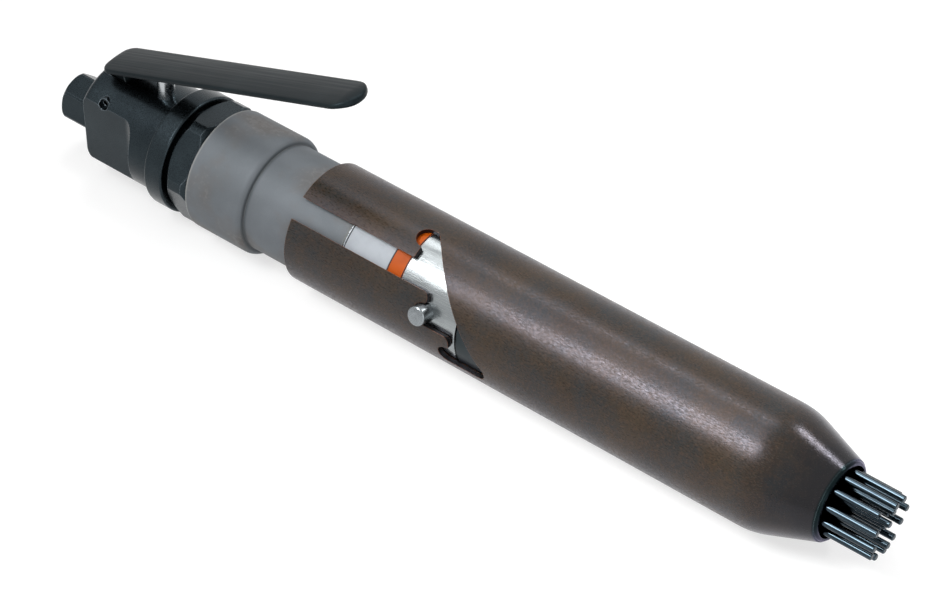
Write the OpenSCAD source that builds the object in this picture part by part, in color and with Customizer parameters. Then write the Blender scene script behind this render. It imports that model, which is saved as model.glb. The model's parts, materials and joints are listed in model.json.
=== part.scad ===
// Pneumatic needle scaler: lever throttle, reciprocating piston, anvil and a
// bundle of steel needles in a bayonet tube.
// X runs along the tool from the air inlet (x = 0) to the needle tips, Z is up
// through the lever. Turns about X are counted from the top towards -Y. Heights are
// counted from the tool's long axis, and the whole is then lifted so that the inlet,
// which lies below that axis, is at z = 0.

/* [Air inlet] */
// Inlet hexagon across its flats
inlet_af = 20.8; // [20:0.1:22]
// Length of the inlet hexagon
inlet_hex_len = 21.7; // [20:0.1:24]
// Drop of the inlet below the tool's long axis
inlet_drop = 5; // [4:0.1:6]
// Radius of the tapped inlet bore
inlet_bore_r = 7.3; // [6.8:0.1:8]
// Depth of the tapped inlet bore
inlet_bore_len = 14; // [10:0.5:15]
// Radius of the threaded shank in the throttle body
inlet_shank_r = 8.6; // [8.2:0.1:9]
// Length of the threaded shank
inlet_shank_len = 17; // [14:0.5:18]
// Radius of the air passage behind the thread
inlet_air_r = 5.2; // [4:0.1:5.6]
// Thickness of the inlet screen
screen_t = 0.8; // [0.5:0.1:1.2]
// Radius of the screen's holes
screen_hole_r = 0.9; // [0.5:0.1:1.1]

/* [Throttle body] */
// Outer radius of the throttle body
body_r = 24.2; // [23.5:0.1:25]
// Length of the body up to its flange
body_len = 44.3; // [43.6:0.1:48]
// Rounding of the body's rear edge
body_round = 3; // [2:0.5:5]
// Radius of the front flange
flange_r = 27.5; // [26.5:0.1:29]
// Length of the front flange
flange_len = 9.8; // [9:0.1:12]
// Distance of each milled side flat from the axis
flat_half = 17.5; // [17:0.1:20]
// Length of the side flats up to their run-out
flat_len = 25; // [22:0.5:28]
// Radius of the cutter that leaves the run-out
flat_cutter_r = 7; // [5:0.5:9]

/* [Lever] */
// Distance of the lever pivot from the body's rear face
pivot_back = 12.1; // [11:0.1:13]
// Height of the lever pivot above the axis
pivot_z = 17.5; // [17:0.1:18.5]
// Radius of the lever pin
lever_pin_r = 2.5; // [2:0.1:2.8]
// Length of the lever pin
lever_pin_len = 31; // [26:0.5:32]
// Slope of the lever at rest, in degrees
lever_slope = 19.8; // [18:0.1:22]
// Distance of the lever's underside from its pivot
lever_drop = 11.5; // [10.5:0.1:12]
// Length of the lever in front of its pivot
lever_reach = 147; // [120:1:160]
// Overhang of the lever behind its pivot
lever_tail = 3; // [2.5:0.1:6]
// Width of the lever
lever_w = 20.6; // [18:0.2:22]
// Thickness of the lever at its edges
lever_t = 2.2; // [2:0.1:3.5]
// Crown of the lever's top face
lever_crown = 0.9; // [0.5:0.1:1.5]
// Bend radius of the lever's front lip
lip_r = 20; // [14:1:26]
// Angle that the front lip turns down, in degrees
lip_angle = 20; // [12:1:30]
// Corner radius at the rear of the lever
lever_rear_corner = 5; // [3:0.5:7]
// Corner radius at the front of the lever
lever_front_corner = 9.8; // [5:0.1:10]
// Width of the tongue that hangs on the pin
tongue_w = 9.4; // [7:0.2:11]
// Radius of the tongue around the pin
tongue_r = 4.4; // [4.1:0.1:4.7]

/* [Throttle valve] */
// Distance of the valve bore from the body's rear face
valve_back = 34.6; // [34:0.1:35.2]
// Radius of the push plunger
plunger_r = 3.9; // [3.4:0.1:4.1]
// Radius of the plunger's retaining shoulder
shoulder_r = 5.2; // [4.8:0.1:5.4]
// Thickness of the plunger's shoulder
shoulder_t = 1.5; // [1:0.1:2]
// Radius of the chamber above the seat
upper_r = 5.6; // [5.5:0.1:6]
// Height of the top of the chamber above the seat
upper_top = 14; // [13.5:0.1:14.5]
// Height of the valve seat's lower face
seat_z = -1; // [-2:0.1:0]
// Thickness of the valve seat
seat_t = 3; // [2:0.1:4]
// Hole through the valve seat, as a radius
seat_hole_r = 3.4; // [3:0.1:3.8]
// Radius of the valve chamber below the seat
chamber_r = 7; // [6.6:0.1:7.4]
// Radius of the valve head
valve_r = 5.4; // [4.8:0.1:5.8]
// Thickness of the valve head
valve_t = 3.6; // [3:0.1:5]
// Radius of the valve stem
stem_r = 1.8; // [1.4:0.1:2.2]
// Radius of the offset air passage from the inlet
feed_r = 3.3; // [2.8:0.1:3.5]
// Drop of the feed passage below the axis
feed_drop = 5.8; // [5.5:0.1:6]
// Radius of the outlet passage to the barrel
outlet_r = 3.2; // [2.6:0.1:3.6]
// Height of the outlet passage above the axis
outlet_z = 8; // [7:0.1:9]
// Thread radius of the valve cap
cap_r = 7.6; // [7.5:0.1:7.7]
// Head radius of the valve cap
cap_head_r = 9.2; // [9.15:0.05:9.4]
// Head thickness of the valve cap
cap_head_t = 2.6; // [2:0.1:2.8]
// Height of the cap's spot face, below the axis
cap_face_drop = 21; // [20.5:0.1:21.5]
// Depth of the cap's thread
cap_len = 4; // [3.5:0.1:5]
// Width of the driver slot in the cap
cap_slot_w = 1.8; // [1.2:0.1:2.4]
// Section radius of the cap's sealing ring
cap_seal_r = 0.7; // [0.6:0.05:0.7]
// Section radius of the plunger's sealing ring
plunger_seal_r = 0.9; // [0.7:0.05:1]
// Wire radius of the throttle spring
throttle_wire_r = 0.45; // [0.4:0.05:0.6]
// Mean radius of the throttle spring
throttle_coil_r = 4.4; // [4:0.1:5]
// Turns of the throttle spring
throttle_turns = 5; // [4:1:6]

/* [Barrel] */
// Radius of the barrel's thick rear part
barrel_r = 27.7; // [27:0.1:29]
// Length of the thick rear part
barrel_big_len = 31; // [28:0.5:40]
// Rounding of the shoulder in front of it
barrel_round = 2.9; // [1:0.1:2.9]
// Rounding of the barrel's rear rim
barrel_rim = 1; // [0.4:0.1:2]
// Length of the barrel in front of its thick part, up to the sleeve
barrel_front_len = 51.5; // [44:0.5:56]
// Radius of the threaded neck in the throttle body
neck_r = 20.5; // [19.5:0.1:21]
// Radius of the threaded front spigot
spigot_r = 19; // [18:0.1:20]
// Length of the front spigot
spigot_len = 31.5; // [28:0.5:36]
// Radius of the piston bore
bore_r = 12.5; // [11.5:0.1:13]
// Radius of the four exhaust ports
exhaust_r = 2.5; // [2:0.1:3.2]
// Radius of the return air passage
return_r = 1.5; // [1.2:0.1:1.6]
// Distance of the return passage from the axis
return_at = 15.4; // [15.2:0.1:15.6]
// Lock nut across its flats
nut_af = 50; // [48:0.2:52]
// Radius that the nut's corners are turned to
nut_corner_r = 27.6; // [26.8:0.1:28]
// Length of the lock nut
nut_len = 12.8; // [10:0.1:13.5]
// Radius of the lock ring behind the nut
lock_ring_r = 23.6; // [22.5:0.1:24.5]
// Width of the groove between the throttle body and the nut
groove_len = 1.4; // [1:0.1:4]

/* [Air valve] */
// Radius of the valve block's pieces
block_r = 17.5; // [17.2:0.1:18]
// Thickness of the rear valve cover
cover_t = 8; // [6:0.2:9]
// Length of the front valve box
box_len = 25.5; // [22:0.5:28]
// Radius of the flapper plate
plate_r = 9; // [8:0.1:9.6]
// Thickness of the flapper plate
plate_t = 1.4; // [1:0.1:2]
// Travel of the flapper plate
plate_travel_len = 1.2; // [0.8:0.1:1.6]
// Radius of the ports through the valve pieces
port_r = 2; // [1.5:0.1:2.4]
// Radius of the circle that the ports lie on
port_circle_r = 6; // [5.4:0.1:6.4]
// Radius of the dowel between cover and box
dowel_r = 1.5; // [1:0.1:1.8]
// Length of the dowel
dowel_len = 9; // [7:0.5:11]

/* [Piston and anvil] */
// Length of the piston
piston_len = 48; // [40:0.5:52]
// Depth of the recess in the piston's rear face
piston_recess = 14; // [8:0.5:18]
// Radius of the anvil's shank
shank_r = 9; // [8:0.1:9.6]
// How far the shank reaches into the piston bore
shank_reach = 8; // [6:0.5:10]
// Length of the anvil's head
head_len = 10; // [9:0.1:13.5]
// Outer radius of the anvil bush
bush_r = 14; // [13:0.1:14.6]
// Thickness of the buffer ring behind the anvil's head
buffer_t = 3; // [2:0.1:4]
// Outer radius of the buffer ring
buffer_r = 18; // [16:0.2:19]

/* [Front sleeve] */
// Radius of the polished front sleeve
sleeve_r = 25; // [24.4:0.1:25.4]
// Length of the front sleeve
sleeve_len = 64; // [60:0.5:68]
// Radius of the retaining pin
pin_r = 4.3; // [3.5:0.1:4.6]
// Distance of the retaining pin behind the sleeve's front face
pin_back = 16; // [12:0.5:18]
// Height of the pin's end above the needle tube
pin_proud = 4.3; // [2.5:0.1:5]
// Depth of the pin in the sleeve
pin_depth = 9; // [6:0.5:9.5]

/* [Needle tube] */
// Wall of the needle tube
tube_wall = 2.2; // [1.8:0.05:2.2]
// Length of the needle tube
tube_len = 265; // [262:0.5:275]
// Length of the tube's tapered nose
nose_len = 27.5; // [24:0.5:32]
// Outer radius at the tube's mouth
mouth_r = 17.7; // [16.8:0.1:19]
// Wall at the mouth
mouth_wall = 1.7; // [1.4:0.1:1.9]
// Rounding of the mouth's rim
mouth_round = 1.3; // [0.6:0.1:1.4]
// Radius of the blend into the taper
nose_blend_r = 36; // [28:1:50]

/* [Bayonet slot] */
// Turn of the first seat, in degrees from the top
seat_1_turn = 9; // [7:0.5:12]
// Turn of the entry channel
entry_turn = 41.5; // [40:0.5:43]
// Turn of the second seat, which holds the pin
seat_2_turn = 72; // [70:0.5:74]
// Turn of the third seat
seat_3_turn = 103.5; // [102:0.5:106]
// Depth of the first seat from the tube's rear end
seat_1_depth = 59.5; // [57:0.1:61]
// Depth of the second seat
seat_2_depth = 74.2; // [72:0.1:76]
// Depth of the third seat
seat_3_depth = 87.9; // [85:0.1:90]
// Clearance of the pin in its seat
seat_clearance = 0.5; // [0.4:0.05:0.8]
// Width of the entry channel
entry_w = 10.1; // [9.6:0.1:11]
// Depth of the lane's front edge at the first seat
lane_depth = 66.6; // [66:0.1:68]
// Lead of the slanted lane, in length per full turn
lane_lead_len = 160; // [150:1:170]
// Depth of the slot's front end
slot_depth = 107.2; // [106.8:0.1:109]
// Depth of the first tooth's tip
tooth_depth = 60.3; // [59.8:0.1:61]
// Axial step from tooth to tooth
tooth_step = 14.3; // [13.9:0.1:14.8]
// Radius of the corners that the pin slides over
tooth_round_r = 3.2; // [2:0.1:3.4]
// Radius of the corners that hook behind the pin
tooth_hook_r = 0.8; // [0.5:0.1:1]

/* [Needles] */
// Radius of a needle
needle_r = 1.5; // [1.2:0.1:1.6]
// Length of a needle
needle_len = 178; // [175:1:190]
// Radius of a needle's head
needle_head_r = 2.4; // [2:0.1:2.8]
// Length of a needle's head
needle_head_len = 3; // [2:0.1:4]
// Radius of the inner ring of needles
ring_1_r = 6.7; // [6.2:0.1:6.9]
// Radius of the outer ring of needles
ring_2_r = 13.3; // [12.4:0.1:13.6]
// Free travel of the needles behind the holder's plate
needle_play_len = 8.2; // [7:0.1:9]
// Chamfer at a needle's tip
needle_chamfer = 0.35; // [0.2:0.05:0.6]
// Wall of the holder's skirt
holder_wall = 3.3; // [3:0.1:3.4]
// Thickness of the holder's plate
holder_plate_t = 7; // [5:0.1:10]
// Travel of the anvil before it meets the needles
anvil_travel_len = 3; // [2:0.1:4]

/* [Needle spring] */
// Wire radius of the needle spring
spring_wire_r = 1.5; // [1.2:0.1:1.7]
// Mean radius of the needle spring
spring_coil_r = 20.6; // [19:0.1:21]
// Turns of the needle spring
spring_turns = 15; // [10:1:18]

/* [Fits] */
// Radial gap of a screwed or pressed fit
fit_gap = 0.05; // [0.03:0.01:0.08]
// Radial gap of a running fit
run_gap = 0.06; // [0.03:0.01:0.09]
// Gap between pieces that rest on each other and move apart
rest_gap = 0.3; // [0.2:0.05:0.4]

/* [Hidden] */
$fn = 96;
// One overrun serves all cuts
overrun = 1;
// A hexagon's sides, and its corner radius for each unit across its flats
hex_sides = 6;
hex_corner_share = 1 / (2 * cos(30));
// Turn of the inlet hexagon and of the lock nut about X
inlet_turn = -12;
nut_turn = 21.4;
// Rounding of the inlet's rear end, the share of its corners that is left by
// turning, and how far the screen's recess is wider
inlet_round = 2.2;
inlet_corner_share = 0.975;
screen_step = 1.2;
screen_ring_share = 0.62;
screen_holes = 6;
// Roundings of the flange, and chamfers of the nut and the turned ends
flange_round = 0.9;
nut_chamfer_share = 0.22;
edge_chamfer = 0.6;
// Wall between the valve chamber and the barrel's neck
neck_inset = 3.2;
// Gap between flat faces that rest on each other
plate_gap = 0.1;
// How far the barrel stands back from the sleeve in front of it
barrel_relief = 0.3;
// Gap around the anvil's head in the holder's skirt
head_gap = 0.4;
// Most of the lever's width that one of its corners may take
corner_share = 0.48;
// Turn of the lip past the lever's front end, where its outline cuts it off
lip_spare = 8;
// Distance of the exhaust ports inside the needle tube
exhaust_inset = 8;
// Plenum between the inlet shank's end and the feed passage
plenum_len = 2.5;
// Room around the lever's tongue in the body's slot
slot_room = 0.4;
// Section room of the sealing ring's gland, as a share of its section radius
gland_share = 1.08;
// Number and turns of the exhaust ports
exhaust_ports = 4;
// Turn of the return passage, from the top towards -Y
return_turn = 135;
valve_ports = 6;
// Most degrees that one slice of the slanted lane spans
slice_turn = 12;
// Most of a tooth's half width that its tip radius may take
tooth_round_share = 0.95;
// How far behind a tooth's tip the lane starts, as a share of its larger corner
tooth_root_share = 1.2;
// Lag of each needle, as a share of the free travel
needle_lag_shares = [
  0.49, 0.35, 0.05, 0.60, 0.02, 0.93, 0.84,
  0.70, 0.11, 0.02, 0.45, 0.13, 0.06, 0.28, 0.38, 0.41, 0.45, 0.47, 0.36
];
ring_1_count = 6;
ring_2_count = 12;
needle_count = 1 + ring_1_count + ring_2_count;
// Rings in one turn of a wound wire, and sides of the wire
wire_rings = 8;
wire_sides = 6;
// Gap between the closed end turns of a wound spring
end_turn_gap = 0.5;

// Radii that follow the sleeve
barrel_front_r = sleeve_r - barrel_relief;
shoulder_round = min(barrel_round, barrel_r - barrel_front_r);
holder_r = sleeve_r;
head_r = holder_r - holder_wall - head_gap;

// Stations along X
body_x = inlet_hex_len;
flange_x = body_x + body_len;
body_end = flange_x + flange_len;
pivot_x = body_x + pivot_back;
valve_x = body_x + valve_back;
shank_bore_len = inlet_shank_len + plenum_len;
neck_x = valve_x + chamber_r + neck_inset;
neck_bore_end = neck_x - rest_gap;
nut_x = body_end + groove_len;
barrel_x = nut_x + nut_len;
neck_len = barrel_x - neck_x;
barrel_step_x = barrel_x + barrel_big_len;
sleeve_x = barrel_step_x + barrel_front_len;
sleeve_end = sleeve_x + sleeve_len;
pin_x = sleeve_end - pin_back;
cover_x = neck_x;
box_x = cover_x + cover_t;
box_end = box_x + box_len;
plate_room = plate_t + plate_travel_len + 2 * plate_gap;
plate_x = box_x + plate_gap;
piston_x = box_end + rest_gap;
spigot_end = sleeve_x + spigot_len;
bush_x = spigot_end + plate_gap;
buffer_x = sleeve_end - buffer_t - plate_gap;
shank_x = spigot_end - shank_reach;
head_x = sleeve_end + rest_gap;
head_end = head_x + head_len;
holder_x = sleeve_end + 2 * rest_gap;
heads_back = head_end + anvil_travel_len + rest_gap;
holder_plate_x = heads_back + needle_head_len + needle_play_len + fit_gap;
holder_end = holder_plate_x + holder_plate_t;

// Needle tube and slot
tube_bore_r = sleeve_r + rest_gap;
tube_r = tube_bore_r + tube_wall;
seat_r = pin_r + seat_clearance;
seat_depths = [seat_1_depth, seat_2_depth, seat_3_depth];
seat_turns = [seat_1_turn, seat_2_turn, seat_3_turn];
tube_x = pin_x + seat_clearance - rest_gap - seat_depths[1];
tube_end = tube_x + tube_len;
exhaust_x = tube_x + exhaust_r + exhaust_inset;
nose_x = tube_end - nose_len;
nose_slope = (tube_r - mouth_r) / nose_len;
nose_angle = atan(nose_slope);
blend_back = nose_blend_r * tan(nose_angle / 2);
arc_per_degree = PI * tube_r / 180;
lane_per_degree = lane_lead_len / 360;
lane_slope = lane_per_degree / arc_per_degree;
// Edges of the seats and of the entry channel bound the teeth between them
seat_half_turn = seat_r / arc_per_degree;
entry_half_turn = entry_w / 2 / arc_per_degree;
tooth_edges = [
  [seat_1_turn + seat_half_turn, entry_turn - entry_half_turn],
  [entry_turn + entry_half_turn, seat_2_turn - seat_half_turn],
  [seat_2_turn + seat_half_turn, seat_3_turn - seat_half_turn]
];
tooth_turns = [for (edge = tooth_edges) (edge[0] + edge[1]) / 2];
tooth_tips = [for (k = [0:2]) tube_x + tooth_depth + k * tooth_step];
// Upper and lower corner of each tooth
tooth_radii = [
  [tooth_hook_r, tooth_hook_r], [tooth_round_r, tooth_hook_r], [tooth_round_r, tooth_hook_r]
];
// The lane ends where its front edge comes nearest to the middle of the slot's round end
lane_over = lane_front(seat_3_turn) - tube_x - slot_depth + seat_r;
lane_end_turn = seat_3_turn - lane_over * lane_slope / (1 + lane_slope * lane_slope) / arc_per_degree;
// The lane runs past the teeth, the entry channel and two seats, with its own rear edge at each
tooth_roots = [for (k = [0:2]) tooth_tips[k] - tooth_root_share * max(tooth_radii[k])];
lane_edges = [
  tooth_edges[0][0], tooth_edges[0][1], tooth_edges[1][0], tooth_edges[1][1],
  tooth_edges[2][0], tooth_edges[2][1], lane_end_turn
];
lane_rears = [
  tooth_roots[0], tooth_roots[1], tooth_roots[1], tube_x + seat_2_depth + rest_gap,
  tooth_roots[2], tube_x + seat_3_depth + rest_gap
];

// Lever and plunger
lever_crown_r = (lever_w * lever_w / 4 + lever_crown * lever_crown) / (2 * lever_crown);
lever_bend = lever_reach - lip_r * sin(lip_angle);
lever_rise = lever_drop + (valve_x - pivot_x) * sin(lever_slope);
plunger_dome_z = pivot_z + (lever_rise - plunger_r - rest_gap) / cos(lever_slope);
shoulder_z = upper_top - fit_gap - shoulder_t;
valve_top = seat_z - plate_gap;
cap_top = -cap_face_drop + cap_len;
throttle_spring_bottom = cap_top + throttle_wire_r + fit_gap;
throttle_spring_top = valve_top - valve_t - throttle_wire_r - fit_gap;
plunger_gland_r = plunger_r + run_gap + 2 * plunger_seal_r * gland_share;
plunger_gland_t = 2 * plunger_seal_r * gland_share;
cap_seal_ring_r = cap_r + fit_gap + cap_seal_r;

// Needle spring, from the holder's plate to the inside of the nose
spring_back = holder_end + rest_gap + spring_wire_r;
nose_inner_drop = tube_bore_r + tube_wall * (1 - 1 / cos(nose_angle));
spring_clear = (spring_wire_r + rest_gap) / cos(nose_angle);
spring_front = nose_x + (nose_inner_drop - spring_coil_r - spring_clear) / nose_slope;

function needle_name(i) = str("needle_", i < 9 ? "0" : "", i + 1);
needle_names = [for (i = [0:needle_count - 1]) needle_name(i)];

// A round bar along X
module rod(x, len, r) {
  translate([x, 0, 0]) rotate([0, 90, 0]) cylinder(r = r, h = len);
}

// What belongs to the air inlet, below the tool's long axis
module at_inlet() {
  translate([0, 0, -inlet_drop]) children();
}

// The finished tool's place, with the air inlet at z = 0
module placed() {
  translate([0, 0, inlet_drop]) children();
}

// A turned piece along X, from a profile of radius across and length up
module turned(x) {
  translate([x, 0, 0]) rotate([0, 90, 0]) rotate_extrude() children();
}

// What a rounded corner takes away from a square one
module corner_cut(r) {
  difference() {
    translate([0, -overrun]) square([r + overrun, r + overrun]);
    translate([0, r]) circle(r);
  }
}

// Half of a bar's section, with its two outer edges rounded
module bar_section(r, len, rear, front) {
  difference() {
    square([r, len]);
    translate([r - rear, 0]) corner_cut(rear);
    translate([r - front, len]) mirror([0, 1]) corner_cut(front);
  }
}

// A hexagonal bar along X
module hex_bar(x, len, af, turn) {
  translate([x, 0, 0]) rotate([turn, 0, 0]) rotate([0, 90, 0])
    cylinder(r = af * hex_corner_share, h = len, $fn = hex_sides);
}

// A sealing ring around the local Z axis
module seal_ring(ring_r, section_r) {
  rotate_extrude() translate([ring_r, 0]) circle(section_r, $fn = 32);
}

// Points and faces of a wound wire around Z: its end turns are closed up
function coil_height(t, turns, len, wire_r) =
  let (end = 2 * wire_r + end_turn_gap)
  let (pitch = (len - 2 * end) / (turns - 2))
  t < 1 ? t * end : t > turns - 1 ? len - (turns - t) * end : end + (t - 1) * pitch;
function coil_centres(coil_r, wire_r, len, turns) = [
  for (k = [0:turns * wire_rings])
    let (t = k / wire_rings)
    [coil_r * cos(360 * t), coil_r * sin(360 * t), coil_height(t, turns, len, wire_r)]
];
function coil_gap(centres, wire_r) = min([
  for (k = [0:len(centres) - wire_rings - 1])
    norm(centres[k + wire_rings] - centres[k]) - 2 * wire_r
]);
module coil(coil_r, wire_r, len, turns) {
  centres = coil_centres(coil_r, wire_r, len, turns);
  rings = len(centres);
  points = [
    for (k = [0:rings - 1])
      let (a = 360 * k / wire_rings)
      for (s = [0:wire_sides - 1])
        let (b = 360 * s / wire_sides)
        centres[k] + wire_r * [cos(b) * cos(a), cos(b) * sin(a), sin(b)]
  ];
  sides = [
    for (k = [0:rings - 2])
      for (s = [0:wire_sides - 1])
        let (p = k * wire_sides + s)
        let (q = k * wire_sides + (s + 1) % wire_sides)
        for (face = [[p, p + wire_sides, q], [q, p + wire_sides, q + wire_sides]]) face
  ];
  last = (rings - 1) * wire_sides;
  caps = [
    for (s = [1:wire_sides - 2])
      for (face = [[0, s, s + 1], [last, last + s + 1, last + s]]) face
  ];
  polyhedron(points = points, faces = concat(sides, caps));
}

module inlet_bushing() {
  inlet_corner_r = inlet_af * hex_corner_share * inlet_corner_share;
  color("#2b2e31") at_inlet() difference() {
    union() {
      intersection() {
        hex_bar(0, inlet_hex_len, inlet_af, inlet_turn);
        turned(0) bar_section(inlet_corner_r, inlet_hex_len + overrun, inlet_round, edge_chamfer);
      }
      rod(inlet_hex_len, inlet_shank_len, inlet_shank_r);
    }
    rod(-overrun, inlet_bore_len + overrun, inlet_bore_r);
    rod(0, inlet_bore_len + screen_t + screen_step, inlet_air_r + screen_step);
    rod(0, inlet_hex_len + inlet_shank_len + overrun, inlet_air_r);
  }
}

module inlet_screen() {
  screen_r = inlet_air_r + screen_step - fit_gap;
  screen_x = inlet_bore_len + screen_step;
  color("#b79a5b") at_inlet() difference() {
    rod(screen_x, screen_t, screen_r);
    for (k = [0:screen_holes])
      rotate([k * 360 / screen_holes, 0, 0])
        translate([0, 0, k < screen_holes ? screen_r * screen_ring_share : 0])
          rod(screen_x - overrun, screen_t + 2 * overrun, screen_hole_r);
  }
}

module side_flat() {
  reach = 2 * flange_r;
  translate([body_x - overrun, flat_half, -reach / 2]) cube([flat_len + overrun, reach, reach]);
  translate([body_x + flat_len, flat_half + flat_cutter_r, -reach / 2])
    cylinder(r = flat_cutter_r, h = reach);
  translate([body_x + flat_len - overrun, flat_half + flat_cutter_r, -reach / 2])
    cube([flat_cutter_r + overrun, reach, reach]);
}

module valve_bores() {
  translate([valve_x, 0, 0]) {
    translate([0, 0, -body_r - overrun])
      cylinder(r = cap_head_r + rest_gap, h = body_r + overrun - cap_face_drop);
    translate([0, 0, -cap_face_drop - overrun]) cylinder(r = cap_r + fit_gap, h = cap_len + overrun);
    translate([0, 0, -cap_face_drop - overrun])
      cylinder(r = cap_seal_ring_r + cap_seal_r + fit_gap, h = 2 * cap_seal_r + fit_gap + overrun);
    translate([0, 0, -cap_face_drop]) cylinder(r = chamber_r, h = cap_face_drop + seat_z + seat_t);
    cylinder(r = upper_r, h = upper_top);
    cylinder(r = plunger_r + run_gap, h = body_r + overrun);
    translate([0, 0, body_r - 2 * plunger_gland_t]) cylinder(r = plunger_gland_r, h = plunger_gland_t);
  }
}

module air_passages() {
  translate([0, 0, -feed_drop]) rod(body_x + shank_bore_len - overrun, valve_back - shank_bore_len, feed_r);
  translate([0, 0, outlet_z]) rod(valve_x, neck_bore_end - valve_x + overrun, outlet_r);
}

module lever_slot() {
  half = tongue_w / 2 + slot_room;
  back = tongue_r + lever_drop * sin(lever_slope) + slot_room;
  front = tongue_r + 2 * slot_room;
  floor_z = pivot_z - tongue_r - slot_room;
  translate([pivot_x - back, -half, floor_z]) cube([back + front, 2 * half, body_r]);
}

module throttle_body() {
  color("#33373a") difference() {
    union() {
      turned(body_x) bar_section(body_r, body_len + overrun, body_round, edge_chamfer);
      turned(flange_x) bar_section(flange_r, flange_len, flange_round, flange_round);
    }
    side_flat();
    mirror([0, 1, 0]) side_flat();
    at_inlet() rod(body_x - overrun, shank_bore_len + overrun, inlet_shank_r + fit_gap);
    rod(neck_bore_end, body_end - neck_bore_end + overrun, neck_r + fit_gap);
    valve_bores();
    air_passages();
    lever_slot();
    translate([pivot_x, flange_r, pivot_z]) rotate([90, 0, 0])
      cylinder(r = lever_pin_r + fit_gap, h = 2 * flange_r);
  }
}

// Section of the lever across its width, from its underside up
module lever_section() {
  intersection() {
    translate([-lever_w / 2 - overrun, 0]) square([lever_w + 2 * overrun, lever_t + lever_crown]);
    translate([0, lever_t + lever_crown - lever_crown_r]) circle(lever_crown_r, $fn = 256);
  }
}

// Outline of the lever seen from above, with rounded corners
module lever_plan() {
  half = lever_w / 2;
  rear = min(lever_rear_corner, lever_w * corner_share);
  front = min(lever_front_corner, lever_w * corner_share);
  union() {
    translate([rear - lever_tail, -half]) square([lever_reach + lever_tail - rear - front, lever_w]);
    translate([-lever_tail, rear - half]) square([2 * rear, lever_w - 2 * rear]);
    translate([lever_reach - 2 * front, front - half]) square([2 * front, lever_w - 2 * front]);
    for (side = [-1, 1]) {
      translate([rear - lever_tail, side * (half - rear)]) circle(rear);
      translate([lever_reach - front, side * (half - front)]) circle(front);
    }
  }
}

module lever_plate() {
  translate([-lever_tail - overrun, 0, lever_drop]) rotate([90, 0, 90])
    linear_extrude(lever_tail + overrun + lever_bend) lever_section();
  translate([lever_bend, 0, lever_drop - lip_r]) rotate([0, -90, -90])
    rotate_extrude(angle = lip_angle + lip_spare) translate([lip_r, 0]) rotate(-90) lever_section();
}

module lever_tongue() {
  back = min(tongue_r, lever_tail - edge_chamfer);
  translate([0, tongue_w / 2, 0]) rotate([90, 0, 0]) linear_extrude(tongue_w) difference() {
    union() {
      circle(tongue_r);
      translate([-back, 0]) square([back + tongue_r, lever_drop + lever_t / 2]);
    }
    circle(lever_pin_r + run_gap);
  }
}

module throttle_lever() {
  color("#3a3d3f") translate([pivot_x, 0, pivot_z]) rotate([0, -lever_slope, 0]) union() {
    intersection() {
      lever_plate();
      translate([0, 0, -lip_r]) linear_extrude(2 * lip_r + lever_drop) lever_plan();
    }
    lever_tongue();
  }
}

module lever_pin() {
  color("#1c1d1e") translate([pivot_x, lever_pin_len / 2, pivot_z]) rotate([90, 0, 0]) difference() {
    cylinder(r = lever_pin_r, h = lever_pin_len);
    translate([0, 0, -overrun]) cylinder(r = lever_pin_r / 2, h = lever_pin_len + 2 * overrun);
  }
}

module throttle_plunger() {
  color("#c9ccce") translate([valve_x, 0, 0]) {
    translate([0, 0, shoulder_z]) cylinder(r = shoulder_r, h = shoulder_t);
    translate([0, 0, shoulder_z]) cylinder(r = plunger_r, h = plunger_dome_z - shoulder_z);
    translate([0, 0, plunger_dome_z]) sphere(plunger_r);
  }
}

module plunger_seal() {
  ring_r = plunger_r + run_gap + plunger_seal_r;
  color("#151515") translate([valve_x, 0, body_r - 1.5 * plunger_gland_t])
    seal_ring(ring_r, plunger_seal_r);
}

module throttle_valve() {
  color("#8b8f92") translate([valve_x, 0, 0]) {
    translate([0, 0, valve_top - valve_t]) cylinder(r = valve_r, h = valve_t);
    translate([0, 0, valve_top - valve_t])
      cylinder(r = stem_r, h = shoulder_z - valve_top + valve_t - fit_gap);
  }
}

module valve_seat() {
  color("#b08d57") translate([valve_x, 0, seat_z]) difference() {
    cylinder(r = chamber_r - fit_gap, h = seat_t - fit_gap);
    translate([0, 0, -overrun]) cylinder(r = seat_hole_r, h = seat_t + 2 * overrun);
  }
}

module throttle_spring() {
  len = throttle_spring_top - throttle_spring_bottom;
  gap = coil_gap(coil_centres(throttle_coil_r, throttle_wire_r, len, throttle_turns), throttle_wire_r);
  echo("least gap between turns of the throttle spring", gap);
  color("#9da1a4") translate([valve_x, 0, throttle_spring_bottom])
    coil(throttle_coil_r, throttle_wire_r, len, throttle_turns);
}

module valve_cap() {
  color("#2b2e31") translate([valve_x, 0, -cap_face_drop]) difference() {
    union() {
      translate([0, 0, -cap_head_t]) cylinder(r = cap_r, h = cap_head_t + cap_len);
      translate([0, 0, -cap_head_t]) cylinder(r = cap_head_r, h = cap_head_t - fit_gap);
    }
    translate([-cap_head_r, -cap_slot_w / 2, -cap_head_t - overrun])
      cube([2 * cap_head_r, cap_slot_w, cap_head_t / 2 + overrun]);
  }
}

module lock_ring() {
  color("#141516") difference() {
    rod(body_end + fit_gap, nut_x - body_end - 2 * fit_gap, lock_ring_r);
    rod(body_end - overrun, nut_x - body_end + 2 * overrun, neck_r + fit_gap);
  }
}

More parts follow.
